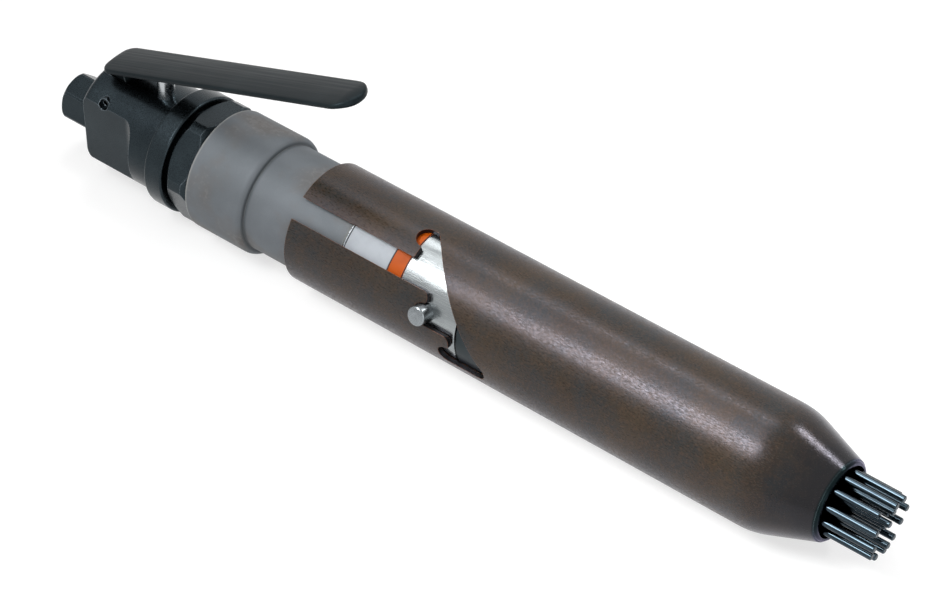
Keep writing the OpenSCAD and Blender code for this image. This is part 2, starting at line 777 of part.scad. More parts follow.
module lock_nut() {
  corner_r = nut_af * hex_corner_share;
  chamfer = nut_len * nut_chamfer_share;
  color("#34383b") difference() {
    intersection() {
      hex_bar(nut_x, nut_len - fit_gap, nut_af, nut_turn);
      rod(nut_x, nut_len, nut_corner_r);
      turned(nut_x) polygon([
        [0, 0], [nut_af / 2, 0], [nut_corner_r, chamfer],
        [nut_corner_r, nut_len - chamfer], [nut_af / 2, nut_len], [0, nut_len]
      ]);
    }
    rod(nut_x - overrun, nut_len + 2 * overrun, neck_r + fit_gap);
  }
}

module exhaust_holes() {
  for (k = [0:exhaust_ports - 1])
    translate([exhaust_x, 0, 0]) rotate([k * 360 / exhaust_ports, 0, 0])
      cylinder(r = exhaust_r, h = barrel_r);
}

module return_passage() {
  cross_x = shank_x - return_r;
  rotate([return_turn, 0, 0]) {
    translate([0, 0, return_at]) rod(box_end - overrun, cross_x + return_r - box_end + overrun, return_r);
    translate([cross_x, 0, 0]) cylinder(r = return_r, h = return_at);
  }
}

module barrel() {
  color("#74787b") difference() {
    union() {
      rod(neck_x, neck_len + overrun, neck_r);
      turned(barrel_x) bar_section(barrel_r, barrel_big_len, barrel_rim, shoulder_round);
      rod(barrel_step_x - overrun, barrel_front_len + overrun, barrel_front_r);
      rod(sleeve_x - overrun, spigot_len + overrun, spigot_r);
    }
    rod(neck_x - overrun, box_end - neck_x + overrun, block_r);
    rod(neck_x, spigot_end - neck_x + overrun, bore_r);
    exhaust_holes();
    return_passage();
  }
}

module port_holes(x, len) {
  for (k = [0:valve_ports - 1])
    rotate([k * 360 / valve_ports, 0, 0]) translate([0, 0, port_circle_r]) rod(x, len, port_r);
}

module dowel_hole(x, len, r) {
  translate([0, 0, -(plate_r + block_r) / 2]) rod(x, len, r);
}

module valve_cover() {
  color("#8d9092") difference() {
    rod(cover_x, cover_t - fit_gap, block_r - fit_gap);
    port_holes(cover_x - overrun, cover_t + 2 * overrun);
    dowel_hole(box_x - dowel_len / 2, dowel_len, dowel_r + fit_gap);
  }
}

module valve_plate() {
  color("#6b6e70") difference() {
    rod(plate_x, plate_t, plate_r);
    rod(plate_x - overrun, plate_t + 2 * overrun, port_r);
  }
}

module valve_box() {
  link_x = box_x + plate_room - return_r / 2;
  color("#85888a") difference() {
    rod(box_x, box_len - fit_gap, block_r - fit_gap);
    rod(box_x - overrun, plate_room + overrun, plate_r + rest_gap);
    port_holes(box_x, box_len + overrun);
    rotate([return_turn, 0, 0]) {
      translate([0, 0, return_at]) rod(link_x, box_end - link_x + overrun, return_r);
      translate([link_x, 0, 0]) cylinder(r = return_r / 2, h = return_at);
    }
    dowel_hole(box_x - overrun, dowel_len / 2 + overrun, dowel_r + fit_gap);
  }
}

module valve_dowel() {
  color("#c2c5c7") dowel_hole(box_x - dowel_len / 2 + fit_gap, dowel_len - 2 * fit_gap, dowel_r);
}

module piston() {
  color("#9a9ea1") difference() {
    rod(piston_x, piston_len, bore_r - run_gap);
    rod(piston_x - overrun, piston_recess + overrun, bore_r / 2);
  }
}

module anvil_bush() {
  color("#a9854f") difference() {
    rod(bush_x, buffer_x - bush_x - plate_gap, bush_r);
    rod(bush_x - overrun, buffer_x - bush_x + overrun, shank_r + run_gap);
  }
}

module anvil() {
  color("#5a5d60") union() {
    rod(shank_x, head_x - shank_x + overrun, shank_r);
    turned(head_x) bar_section(head_r, head_len, edge_chamfer, edge_chamfer);
  }
}

module anvil_buffer() {
  color("#1d1d1d") difference() {
    rod(buffer_x, buffer_t, buffer_r);
    rod(buffer_x - overrun, buffer_t + 2 * overrun, shank_r + rest_gap);
  }
}

module at_pin() {
  translate([pin_x, 0, 0]) rotate([seat_2_turn, 0, 0]) children();
}

module front_sleeve() {
  color("#c9c9c6") difference() {
    turned(sleeve_x) bar_section(sleeve_r, sleeve_len, edge_chamfer, edge_chamfer);
    rod(sleeve_x - overrun, spigot_len + overrun + plate_gap, spigot_r + fit_gap);
    rod(sleeve_x, sleeve_len, bush_r + fit_gap);
    rod(buffer_x - fit_gap, buffer_t + plate_gap + overrun, buffer_r + fit_gap);
    at_pin() translate([0, 0, sleeve_r - pin_depth]) cylinder(r = pin_r + fit_gap, h = sleeve_r);
  }
}

module retaining_pin() {
  foot = sleeve_r - pin_depth + fit_gap;
  color("#b9bcbe") at_pin() translate([0, 0, foot]) rotate_extrude()
    bar_section(pin_r, tube_r + pin_proud - foot, edge_chamfer, edge_chamfer);
}

// Half section of a tube with a blended nose: bore or outside, by its radii
module nose_section(r, blend_r, tip_r, rear, front) {
  blend_x = nose_x - blend_back;
  reach_r = tube_r - nose_blend_r;
  blend_end_x = blend_x + blend_r * sin(nose_angle);
  blend_end_r = reach_r + blend_r * cos(nose_angle);
  tip_x = blend_end_x + (blend_end_r - tip_r) / nose_slope;
  union() {
    polygon([
      [0, rear], [r, rear], [r, blend_x], [blend_end_r, blend_end_x],
      [tip_r, min(tip_x, front)], [tip_r, front], [0, front]
    ]);
    intersection() {
      translate([reach_r, blend_x]) circle(blend_r, $fn = 360);
      translate([0, blend_x]) square([r, blend_end_x - blend_x]);
    }
  }
}

// A cut through the tube's wall, at a turn about X, from an outline in length and width
module wall_cut(turn) {
  rotate([turn, 0, 0]) translate([0, 0, tube_bore_r / 2]) linear_extrude(tube_r) children();
}

// The lane's front edge at a turn
function lane_front(turn) = tube_x + lane_depth + (turn - seat_1_turn) * lane_per_degree;

module lane_slice(turn, half, rear) {
  polygon([
    [rear, -half], [lane_front(turn) + lane_slope * half, -half],
    [lane_front(turn) - lane_slope * half, half], [rear, half]
  ]);
}

module lane() {
  for (span = [0:5]) {
    width = lane_edges[span + 1] - lane_edges[span];
    count = ceil(width / slice_turn);
    half = width / count / 2 * arc_per_degree + rest_gap;
    for (k = [0:count - 1]) {
      turn = lane_edges[span] + (k + 1 / 2) * width / count;
      wall_cut(turn) lane_slice(turn, half, lane_rears[span]);
    }
  }
}

// A tooth that is left standing in the lane, with rounded corners
module tooth_outline(k) {
  tip = tooth_tips[k];
  back = tip - 2 * tooth_step;
  half = (tooth_edges[k][1] - tooth_edges[k][0]) / 2 * arc_per_degree;
  wide = half + 2 * rest_gap;
  lower = min(tooth_radii[k][1], half * tooth_round_share);
  upper = min(tooth_radii[k][0], (2 * half - lower) * tooth_round_share);
  union() {
    translate([back, -wide]) square([tip - lower - back, wide + half - upper]);
    translate([back + lower, half - upper - lower / 2])
      square([tip - upper - back - lower, wide - half + upper + lower / 2]);
    translate([tip - 2 * lower, lower - half]) square([2 * lower, 2 * half - lower - upper]);
    translate([tip - lower, lower - half]) circle(lower);
    translate([tip - upper, half - upper]) circle(upper);
  }
}

module seat_outline(k) {
  seat_x = tube_x + seat_depths[k];
  turn = seat_turns[k];
  translate([seat_x, 0]) circle(seat_r);
  if (k < 2)
    polygon([
      [seat_x, -seat_r], [lane_front(turn) + lane_slope * seat_r, -seat_r],
      [lane_front(turn) - lane_slope * seat_r, seat_r], [seat_x, seat_r]
    ]);
  else {
    translate([seat_x, -seat_r]) square([tube_x + slot_depth - seat_r - seat_x, 2 * seat_r]);
    translate([tube_x + slot_depth - seat_r, 0]) circle(seat_r);
  }
}

module bayonet_slot() {
  half = entry_w / 2;
  difference() {
    lane();
    for (k = [0:2]) wall_cut(tooth_turns[k]) tooth_outline(k);
  }
  for (k = [0:2]) wall_cut(seat_turns[k]) seat_outline(k);
  wall_cut(entry_turn) polygon([
    [tube_x - overrun, -half], [lane_front(entry_turn) + lane_slope * half, -half],
    [lane_front(entry_turn) - lane_slope * half, half], [tube_x - overrun, half]
  ]);
}

module needle_tube() {
  color("#4a3a33") difference() {
    turned(0) difference() {
      nose_section(tube_r, nose_blend_r, mouth_r, tube_x, tube_end);
      nose_section(
        tube_bore_r, nose_blend_r - tube_wall, mouth_r - mouth_wall, tube_x - overrun, tube_end + overrun
      );
      translate([mouth_r - mouth_round, tube_end]) mirror([0, 1]) corner_cut(mouth_round);
    }
    bayonet_slot();
  }
}

// Place of a needle across the bundle
function needle_place(i) =
  i == 0 ? [0, 0]
  : i <= ring_1_count
    ? let (a = 360 * i / ring_1_count) ring_1_r * [cos(a), sin(a)]
    : let (a = 360 * (i - ring_1_count) / ring_2_count) ring_2_r * [cos(a), sin(a)];

module at_needle(i) {
  place = needle_place(i);
  translate([0, place[0], place[1]]) children();
}

module needle_holder() {
  color("#54585b") difference() {
    turned(holder_x) bar_section(holder_r, holder_end - holder_x, edge_chamfer, edge_chamfer);
    rod(holder_x - overrun, holder_plate_x - holder_x + overrun, holder_r - holder_wall);
    for (i = [0:needle_count - 1])
      at_needle(i) rod(holder_x, holder_end - holder_x + overrun, needle_r + run_gap);
  }
}

module needle_spring() {
  len = spring_front - spring_back;
  gap = coil_gap(coil_centres(spring_coil_r, spring_wire_r, len, spring_turns), spring_wire_r);
  echo("least gap between turns of the needle spring", gap);
  color("#8f9396") translate([spring_back, 0, 0]) rotate([0, 90, 0])
    coil(spring_coil_r, spring_wire_r, len, spring_turns);
}

module needle(i) {
  head_back = heads_back + needle_play_len * (1 - needle_lag_shares[i]);
  color("#3d454c") at_needle(i) {
    turned(head_back) polygon([
      [0, 0], [needle_head_r, 0], [needle_head_r, needle_head_len], [needle_r, needle_head_len],
      [needle_r, needle_len - needle_chamfer], [needle_r - needle_chamfer, needle_len], [0, needle_len]
    ]);
  }
}

module valve_cap_seal() {
  color("#151515") translate([valve_x, 0, cap_seal_r - cap_face_drop])
    seal_ring(cap_seal_ring_r, cap_seal_r);
}

placed() inlet_bushing();
placed() inlet_screen();
placed() throttle_body();
placed() throttle_lever();
placed() lever_pin();
placed() throttle_plunger();
placed() plunger_seal();
placed() throttle_valve();
placed() valve_seat();
placed() throttle_spring();
placed() valve_cap();
placed() valve_cap_seal();
placed() lock_ring();
placed() lock_nut();
placed() barrel();
placed() valve_cover();
placed() valve_plate();
placed() valve_box();
placed() valve_dowel();
placed() piston();
placed() anvil_bush();
placed() anvil();
placed() anvil_buffer();
placed() front_sleeve();
placed() retaining_pin();
placed() needle_tube();
placed() needle_holder();
placed() needle_spring();
for (i = [0:needle_count - 1])
  placed() needle(i);
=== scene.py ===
# %% [markdown]
# A needle scaler, dressed for its picture. The tool chips rust and paint with a bundle
# of steel needles that a piston drives by air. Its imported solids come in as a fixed
# frame, so every length below is in the same axes as theirs: X runs from the air inlet
# to the needle tips, and Z points up through the lever. The inlet is at the origin, and
# the long axis of the tool lies 5 mm above it. Blender counts in metres and a maker in
# millimetres, so lengths are written in millimetres and multiplied by MM.

# %% Load the frame
import json
import math

import bmesh
import bpy
from mathutils import Matrix, Vector


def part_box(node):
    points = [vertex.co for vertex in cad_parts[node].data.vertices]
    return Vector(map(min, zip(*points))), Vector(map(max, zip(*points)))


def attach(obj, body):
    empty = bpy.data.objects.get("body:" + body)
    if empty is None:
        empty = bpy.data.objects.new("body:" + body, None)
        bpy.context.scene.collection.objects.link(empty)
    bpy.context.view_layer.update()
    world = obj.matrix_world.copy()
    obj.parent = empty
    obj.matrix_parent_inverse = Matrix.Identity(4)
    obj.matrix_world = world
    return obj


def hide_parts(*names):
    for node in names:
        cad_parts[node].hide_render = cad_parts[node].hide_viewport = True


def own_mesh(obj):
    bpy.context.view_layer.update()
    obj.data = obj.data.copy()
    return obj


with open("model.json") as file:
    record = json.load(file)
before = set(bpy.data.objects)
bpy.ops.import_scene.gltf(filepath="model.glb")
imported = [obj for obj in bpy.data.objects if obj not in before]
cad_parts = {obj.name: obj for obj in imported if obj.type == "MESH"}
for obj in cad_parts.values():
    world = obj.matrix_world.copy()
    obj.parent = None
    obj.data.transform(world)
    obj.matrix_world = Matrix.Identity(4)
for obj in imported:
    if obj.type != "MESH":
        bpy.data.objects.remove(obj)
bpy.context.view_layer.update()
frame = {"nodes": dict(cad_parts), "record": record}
nodes = frame["nodes"]
MM = 0.001
AXIS = 5.0

# %% [markdown]
# The picture was taken with a long lens from the front right and well above. A camera
# can be set by eye, but on a long tool a small error shows at once in the taper. So its
# place was found by fitting straight edges and round rims, and the lens, the place and
# the two angles below belong together. The lens comes from the focal length in pixels.

# %% Camera
CAMERA_PLACE = (0.88420, -0.81657, 0.96664)
CAMERA_TURN = 38.80
CAMERA_HEIGHT = 42.565
SENSOR, FOCAL_PIXELS, PICTURE_WIDTH = 36, 3426.5, 950
FARTHEST = 20
camera_data = bpy.data.cameras.new("camera")
camera_data.sensor_width = SENSOR
camera_data.lens = SENSOR * FOCAL_PIXELS / PICTURE_WIDTH
camera_data.clip_end = FARTHEST
camera = bpy.data.objects.new("camera", camera_data)
camera.location = CAMERA_PLACE
camera.rotation_euler = (math.radians(90 - CAMERA_HEIGHT), 0, math.radians(CAMERA_TURN))
bpy.context.scene.collection.objects.link(camera)
bpy.context.scene.camera = camera
bpy.context.scene.view_settings.view_transform = "Standard"
print("lens", round(camera_data.lens, 1))

# %% [markdown]
# Colours are written as they look on a screen and turned to the linear values that a
# shader takes. Nodes could be joined by hand in the editor, but a script that adds each
# in the same way can be read from top to bottom. So one function adds a node: its
# settings are plain arguments, and its inputs are values or the sockets that feed them.
# The Mix node has sockets of the same name for numbers and for colours, so those for
# its two colours and their blend are reached by number.

# %% Colour and node helpers
FIRST, SECOND, BLEND = 6, 7, 2


def linear(code):
    parts = [int(code[i : i + 2], 16) / 255 for i in (1, 3, 5)]
    return [p / 12.92 if p <= 0.04045 else ((p + 0.055) / 1.055) ** 2.4 for p in parts] + [1.0]


def add(tree, kind, inputs=None, **settings):
    node = tree.nodes.new(kind)
    for name, value in settings.items():
        setattr(node, name, value)
    for socket, value in (inputs or {}).items():
        if isinstance(value, bpy.types.NodeSocket):
            tree.links.new(value, node.inputs[socket])
        else:
            node.inputs[socket].default_value = value
    return node


def per_mm(size):
    """Noise scale that gives a grain of about this many millimetres."""
    return 1 / (size * MM)


print("middle grey", [round(part, 3) for part in linear("#808080")])

# %% [markdown]
# Most of this tool is steel with a thin finish, and all the finishes share the same
# bones: a colour that drifts slowly, a fine grain that roughens the shine, and edges
# that are slightly round and painted lighter, partly as wear and partly as a painted
# highlight. The edges could be bevelled in the mesh, but the solids stay as they are, so
# a Bevel node gives both the soft edge and, compared with the true normal, a mask of
# where the edges are. The grain of real steel is too fine to show, so it is drawn as
# coarse as the picture needs, from 0.3 mm up. Stretch says how many times longer the
# grain is along each axis, and lean tips it about Y.

# %% Metal finish
BUMP_DEPTH = 0.2


def metal_finish(name, dark, light, edge, rough, grain_mm, drift_mm=18, edge_mm=0.5,
                 metallic=1.0, stretch=(1, 1, 1), lean=0, bump=0.05, wear_and_highlight=0.6,
                 rough_spread=0.12):
    material = bpy.data.materials.new(name)
    material.use_nodes = True
    tree = material.node_tree
    shader = tree.nodes["Principled BSDF"]
    place = add(tree, "ShaderNodeTexCoord").outputs["Object"]
    lay = add(tree, "ShaderNodeMapping", {
        "Vector": place, "Rotation": (0, math.radians(lean), 0), "Scale": stretch,
    }, vector_type="TEXTURE")
    drift = add(tree, "ShaderNodeTexNoise", {
        "Vector": place, "Scale": per_mm(drift_mm), "Detail": 3.0})
    grain = add(tree, "ShaderNodeTexNoise", {
        "Vector": lay.outputs["Vector"], "Scale": per_mm(grain_mm), "Detail": 2.0})
    both = add(tree, "ShaderNodeMath", {
        0: drift.outputs["Fac"], 1: grain.outputs["Fac"]}, operation="ADD")
    share = add(tree, "ShaderNodeMapRange", {
        "Value": both.outputs[0], "From Min": 0.7, "From Max": 1.3})
    body = add(tree, "ShaderNodeMix", {
        "Factor": share.outputs[0], FIRST: linear(dark), SECOND: linear(light),
    }, data_type="RGBA")
    # The softened normal leans away from the true one only near an edge
    soft = add(tree, "ShaderNodeBevel", {"Radius": edge_mm * MM}, samples=4)
    true = add(tree, "ShaderNodeNewGeometry")
    turn = add(tree, "ShaderNodeVectorMath", {
        0: soft.outputs[0], 1: true.outputs["Normal"]}, operation="DOT_PRODUCT")
    # The edge mask paints the edges lighter: partly wear, partly a painted highlight
    worn_and_highlit_edge = add(tree, "ShaderNodeMapRange", {
        "Value": turn.outputs["Value"], "From Min": 0.985, "From Max": 0.80, "To Max": wear_and_highlight})
    colour = add(tree, "ShaderNodeMix", {
        "Factor": worn_and_highlit_edge.outputs[0], FIRST: body.outputs[BLEND], SECOND: linear(edge),
    }, data_type="RGBA")
    shine = add(tree, "ShaderNodeMapRange", {
        "Value": grain.outputs["Fac"], "From Min": 0.25, "From Max": 0.75,
        "To Min": rough - rough_spread, "To Max": rough + rough_spread})
    height = add(tree, "ShaderNodeBump", {
        "Height": grain.outputs["Fac"], "Normal": soft.outputs[0],
        "Strength": bump, "Distance": BUMP_DEPTH * MM})
    shader.inputs["Metallic"].default_value = metallic
    tree.links.new(colour.outputs[BLEND], shader.inputs["Base Color"])
    tree.links.new(shine.outputs[0], shader.inputs["Roughness"])
    tree.links.new(height.outputs[0], shader.inputs["Normal"])
    return material


# %% [markdown]
# The throttle head, the nut and the inlet are machined steel, blackened in a hot salt
# bath. The film is thin and glassy, so it stays nearly black but throws cool highlights,
# and its corners are painted grey, partly as wear and partly as a painted highlight. The
# lever was brushed along its length before it was coated. Scratches could be modelled
# one by one, but a grain that is many times longer than wide looks the same from here,
# and it tips with the slope of the lever.

# %% Blackened steel and the lever's coat
LEVER_SLOPE = 19.8
black_oxide = metal_finish("black_oxide_steel", "#23292d", "#31393d", "#87929a", 0.28, 0.35,
                           wear_and_highlight=0.85)
lever_coat = metal_finish("dark_satin_lever_steel", "#1a2023", "#232a2d", "#6f777a", 0.42, 0.8,
                          edge_mm=0.7, stretch=(60, 1, 1), lean=-LEVER_SLOPE, bump=0.06,
                          rough_spread=0.11)
print("dark finishes", black_oxide.name, lever_coat.name)

# %% [markdown]
# The barrel is the grip: blasted steel, matt and grey. Hands leave faint brown stains on
# it, and the stained places catch pale scuffs. Both could be painted on an image, but
# noise in the right sizes does it from every side and needs no file. The new colours go
# in under the edges, between the plain body colour and the node that paints the edges
# lighter, partly as wear and partly as a painted highlight.

# %% Blasted steel of the barrel
STAIN_MM, SCUFF_MM = 22, 2.2
barrel_grey = metal_finish("grey_blasted_steel", "#5f6468", "#6c7176", "#adadab", 0.66, 0.3,
                           drift_mm=14, edge_mm=0.9, metallic=0.55, bump=0.12, wear_and_highlight=0.9,
                           rough_spread=0.05)
tree = barrel_grey.node_tree
shader = tree.nodes["Principled BSDF"]
worn_and_highlit = shader.inputs["Base Color"].links[0].from_node
plain = worn_and_highlit.inputs[FIRST].links[0].from_socket
place = add(tree, "ShaderNodeTexCoord").outputs["Object"]
along = add(tree, "ShaderNodeSeparateXYZ", {"Vector": place}).outputs["X"]
stains = add(tree, "ShaderNodeTexNoise", {
    "Vector": place, "Scale": per_mm(STAIN_MM), "Detail": 4.0, "Roughness": 0.5})
stain = add(tree, "ShaderNodeMapRange", {
    "Value": stains.outputs["Fac"], "From Min": 0.48, "From Max": 0.76, "To Max": 0.65})
handled = add(tree, "ShaderNodeMix", {
    "Factor": stain.outputs[0], FIRST: plain, SECOND: linear("#655a4f")}, data_type="RGBA")
grit = add(tree, "ShaderNodeTexNoise", {
    "Vector": place, "Scale": per_mm(SCUFF_MM), "Detail": 6.0, "Roughness": 0.7})
rubs = add(tree, "ShaderNodeMath", {
    0: grit.outputs["Fac"], 1: stains.outputs["Fac"]}, operation="MULTIPLY")
scuff = add(tree, "ShaderNodeMapRange", {
    "Value": rubs.outputs[0], "From Min": 0.30, "From Max": 0.40, "To Max": 0.3})
scuffed = add(tree, "ShaderNodeMix", {
    "Factor": scuff.outputs[0], FIRST: handled.outputs[BLEND], SECOND: linear("#85878a"),
}, data_type="RGBA")
print("barrel finish", barrel_grey.name)

# %% [markdown]
# Two rings on the barrel are painted. The rear rim gets a pale painted highlight, and
# the corner at the foot of the step gets a dark painted shade. Each is a narrow range
# along X, so the X of the Object coordinates is enough to draw it.

# %% Rim and step of the barrel
BARREL_REAR, BARREL_STEP = 90.0, 121.0
# Painted highlight: a pale ring on the rear rim
rim_highlight = add(tree, "ShaderNodeMapRange", {
    "Value": along, "From Min": (BARREL_REAR + 1.5) * MM, "From Max": (BARREL_REAR + 0.4) * MM,
    "To Max": 0.75})
rim_highlighted = add(tree, "ShaderNodeMix", {
    "Factor": rim_highlight.outputs[0], FIRST: scuffed.outputs[BLEND], SECOND: linear("#a3a3a0"),
}, data_type="RGBA")
tree.links.new(rim_highlighted.outputs[BLEND], worn_and_highlit.inputs[FIRST])
# Painted shade: a dark ring in the corner at the foot of the step
behind = add(tree, "ShaderNodeMapRange", {
    "Value": along, "From Min": (BARREL_STEP - 0.5) * MM, "From Max": (BARREL_STEP - 0.05) * MM,
    "To Max": 0.75})
before = add(tree, "ShaderNodeMapRange", {
    "Value": along, "From Min": (BARREL_STEP + 1.8) * MM, "From Max": (BARREL_STEP + 0.4) * MM})
step_shade = add(tree, "ShaderNodeMath", {
    0: behind.outputs[0], 1: before.outputs[0]}, operation="MULTIPLY")
step_shaded = add(tree, "ShaderNodeMix", {
    "Factor": step_shade.outputs[0], FIRST: worn_and_highlit.outputs[BLEND], SECOND: linear("#454a4e"),
}, data_type="RGBA")
tree.links.new(step_shaded.outputs[BLEND], shader.inputs["Base Color"])
print("rings at", BARREL_REAR, BARREL_STEP)

# %% [markdown]
# The needle tube is steel under a thick brown oxide, the colour of old bronze. A bare
# metal would show only what it mirrors. This oxide is a dark glassy skin, so the finish
# is mostly not a metal here: it keeps its brown in the shade and throws pale bands of
# light. Slow clouds of cold brown and fine warm flecks lie over it, and streaks along
# the tube break up the shine.

# %% Brown oxide of the tube
OXIDE_METALLIC, COPPER_EDGE = 0.15, "#9a6244"
CLOUD_MM, FLECK_MM = 16, 0.9
tube_brown = metal_finish("brown_oxide_steel", "#241d11", "#332917", COPPER_EDGE, 0.34, 0.42,
                          drift_mm=30, edge_mm=0.32, metallic=OXIDE_METALLIC,
                          stretch=(4, 1, 1), bump=0.17, wear_and_highlight=0.75, rough_spread=0.17)
tree = tube_brown.node_tree
shader = tree.nodes["Principled BSDF"]
shader.inputs["Specular IOR Level"].default_value = 0.36
shader.inputs["Specular Tint"].default_value = linear("#eeeaff")
worn_and_highlit = shader.inputs["Base Color"].links[0].from_node
brown = worn_and_highlit.inputs[FIRST].links[0].from_socket
place = add(tree, "ShaderNodeTexCoord").outputs["Object"]
along = add(tree, "ShaderNodeSeparateXYZ", {"Vector": place}).outputs["X"]
clouds = add(tree, "ShaderNodeTexNoise", {
    "Vector": place, "Scale": per_mm(CLOUD_MM), "Detail": 5.0, "Roughness": 0.6})
cold = add(tree, "ShaderNodeMapRange", {
    "Value": clouds.outputs["Fac"], "From Min": 0.42, "From Max": 0.66, "To Max": 0.8})
cloudy = add(tree, "ShaderNodeMix", {
    "Factor": cold.outputs[0], FIRST: brown, SECOND: linear("#1d2322")}, data_type="RGBA")
flecks = add(tree, "ShaderNodeTexNoise", {
    "Vector": place, "Scale": per_mm(FLECK_MM), "Detail": 2.0})
fleck = add(tree, "ShaderNodeMapRange", {
    "Value": flecks.outputs["Fac"], "From Min": 0.46, "From Max": 0.70, "To Max": 0.30})
flecked = add(tree, "ShaderNodeMix", {
    "Factor": fleck.outputs[0], FIRST: cloudy.outputs[BLEND], SECOND: linear("#56402f"),
}, data_type="RGBA")
print("tube finish", tube_brown.name)

# %% [markdown]
# The mouth of the tube was heated to be swaged, and turned nearly black. The heat faded
# out along the tube, so its edge is a range along X that noise pushes to and fro. Edges
# are painted copper on the tube and blue-grey at the mouth, partly as wear and partly as
# a painted highlight. The walls of the slot and the bore are painted near black as shade.
# A face belongs to them where it does not look away from the axis, so the spoke from the
# axis to the point is compared with the normal.

# %% Heat, edges and painted shade on the cut walls
HEAT_START, HEAT_END, HEAT_SWAY, HEAT_EDGE_MM = 388.0, 414.0, 20.0, 6
heat_edge = add(tree, "ShaderNodeTexNoise", {
    "Vector": place, "Scale": per_mm(HEAT_EDGE_MM), "Detail": 4.0})
shift = add(tree, "ShaderNodeMath", {
    0: heat_edge.outputs["Fac"], 1: HEAT_SWAY * MM, 2: along}, operation="MULTIPLY_ADD")
heat = add(tree, "ShaderNodeMapRange", {
    "Value": shift.outputs[0], "From Min": HEAT_START * MM, "From Max": HEAT_END * MM,
    "To Max": 0.95})
heated = add(tree, "ShaderNodeMix", {
    "Factor": heat.outputs[0], FIRST: flecked.outputs[BLEND], SECOND: linear("#10110e"),
}, data_type="RGBA")
# Edge colour: copper on the tube, blue-grey at the mouth, partly wear and partly a painted
# highlight
edges = add(tree, "ShaderNodeMix", {
    "Factor": heat.outputs[0], FIRST: linear(COPPER_EDGE), SECOND: linear("#566b6e"),
}, data_type="RGBA")
tree.links.new(edges.outputs[BLEND], worn_and_highlit.inputs[SECOND])
spoke = add(tree, "ShaderNodeVectorMath", {0: place, 1: (0, 0, -AXIS * MM)}, operation="ADD")
spoke = add(tree, "ShaderNodeVectorMath", {
    0: spoke.outputs[0], 1: (0, 1, 1)}, operation="MULTIPLY")
spoke = add(tree, "ShaderNodeVectorMath", {0: spoke.outputs[0]}, operation="NORMALIZE")
facing = add(tree, "ShaderNodeNewGeometry").outputs["True Normal"]
outward = add(tree, "ShaderNodeVectorMath", {
    0: spoke.outputs[0], 1: facing}, operation="DOT_PRODUCT")
# Painted shade: faces that do not look away from the axis are painted near black
wall_shade = add(tree, "ShaderNodeMapRange", {
    "Value": outward.outputs["Value"], "From Min": 0.8, "From Max": 0.5, "To Max": 0.9})
walls_shaded = add(tree, "ShaderNodeMix", {
    "Factor": wall_shade.outputs[0], FIRST: heated.outputs[BLEND], SECOND: linear("#0e0f10"),
}, data_type="RGBA")
print("heat from", HEAT_START, "to", HEAT_END)

# %% [markdown]
# The rolled lip of the mouth, where the heat was strongest, is painted dark teal and
# turned to a dark metal that mirrors little: partly heat colour, partly a painted dark
# reflection. It is the shiniest place on the tube. The taper was pressed in a die, so it
# too is smoother than the drawn tube behind it. The roughness of the whole tube is
# therefore multiplied by a factor for each.

# %% Lip and gloss of the mouth
LIP_FADE, LIP_START = 2.1, 1.4
TAPER_START, TAPER_END = 376.0, 390.0
mouth_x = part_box("needle_tube")[1].x
lip = add(tree, "ShaderNodeMapRange", {
    "Value": along, "From Min": mouth_x - LIP_FADE * MM, "From Max": mouth_x - LIP_START * MM,
    "To Max": 0.9}).outputs[0]
# Painted dark reflection: the lip is painted dark teal and made a dark metal over the heat colour
lip_painted_dark = add(tree, "ShaderNodeMix", {
    "Factor": lip, FIRST: walls_shaded.outputs[BLEND], SECOND: linear("#0d1b1d")}, data_type="RGBA")
tree.links.new(lip_painted_dark.outputs[BLEND], worn_and_highlit.inputs[FIRST])
lip_dark_metal = add(tree, "ShaderNodeMapRange", {
    "Value": lip, "To Min": OXIDE_METALLIC, "To Max": 0.95})
tree.links.new(lip_dark_metal.outputs[0], shader.inputs["Metallic"])
shine = shader.inputs["Roughness"].links[0].from_socket
taper = add(tree, "ShaderNodeMapRange", {
    "Value": along, "From Min": TAPER_START * MM, "From Max": TAPER_END * MM,
    "To Min": 1.0, "To Max": 0.6})
gloss = add(tree, "ShaderNodeMath", {0: shine, 1: taper.outputs[0]}, operation="MULTIPLY")
glass = add(tree, "ShaderNodeMapRange", {"Value": lip, "To Min": 1.0, "To Max": 0.4})
gloss = add(tree, "ShaderNodeMath", {
    0: gloss.outputs[0], 1: glass.outputs[0]}, operation="MULTIPLY")
tree.links.new(gloss.outputs[0], shader.inputs["Roughness"])
print("mouth at", round(mouth_x / MM, 1))

# %% [markdown]
# The other pieces are bare or nearly so, and each shows how it was made. All of them
# could share one grey, but then they would read as one casting, so each gets its own
# tone, shine and grain.

# %% Bare steel, brass and rubber
# Polished along its length: near white, with soft mirror bands that hardly waver
polished = metal_finish("polished_sleeve_steel", "#7f8385", "#959a9b", "#d6d6d4", 0.24, 0.4,
                        stretch=(20, 1, 1), bump=0.02, wear_and_highlight=0.3, rough_spread=0.06)
# Turned on a lathe: bright, but with a grain that breaks the highlights
bright = metal_finish("bright_turned_steel", "#74797c", "#8e9396", "#c2c6c8", 0.26, 0.3)
# Ground to slide in a seal, and painted lighter against the lever's shadow: the lightest of the
# steels
plunger_painted_bright = metal_finish("ground_plunger_painted_light_steel", "#a9adb0", "#c3c7c9", "#d9dcdd",
                              0.22, 0.3, bump=0.03, wear_and_highlight=0.4)
# Drawn through a die and blued: dark, with one sharp blue-white line along each needle
needle_blue = metal_finish("blue_drawn_needle_steel", "#293238", "#38434a", "#7d8891",
                           0.13, 0.4, edge_mm=0.2, stretch=(33, 1, 1), bump=0.03, wear_and_highlight=0.5,
                           rough_spread=0.05)
# Hardened and ground: mid grey and satin
hardened = metal_finish("hardened_ground_steel", "#55595c", "#6c7073", "#8b8f92", 0.34, 0.3,
                        bump=0.04)
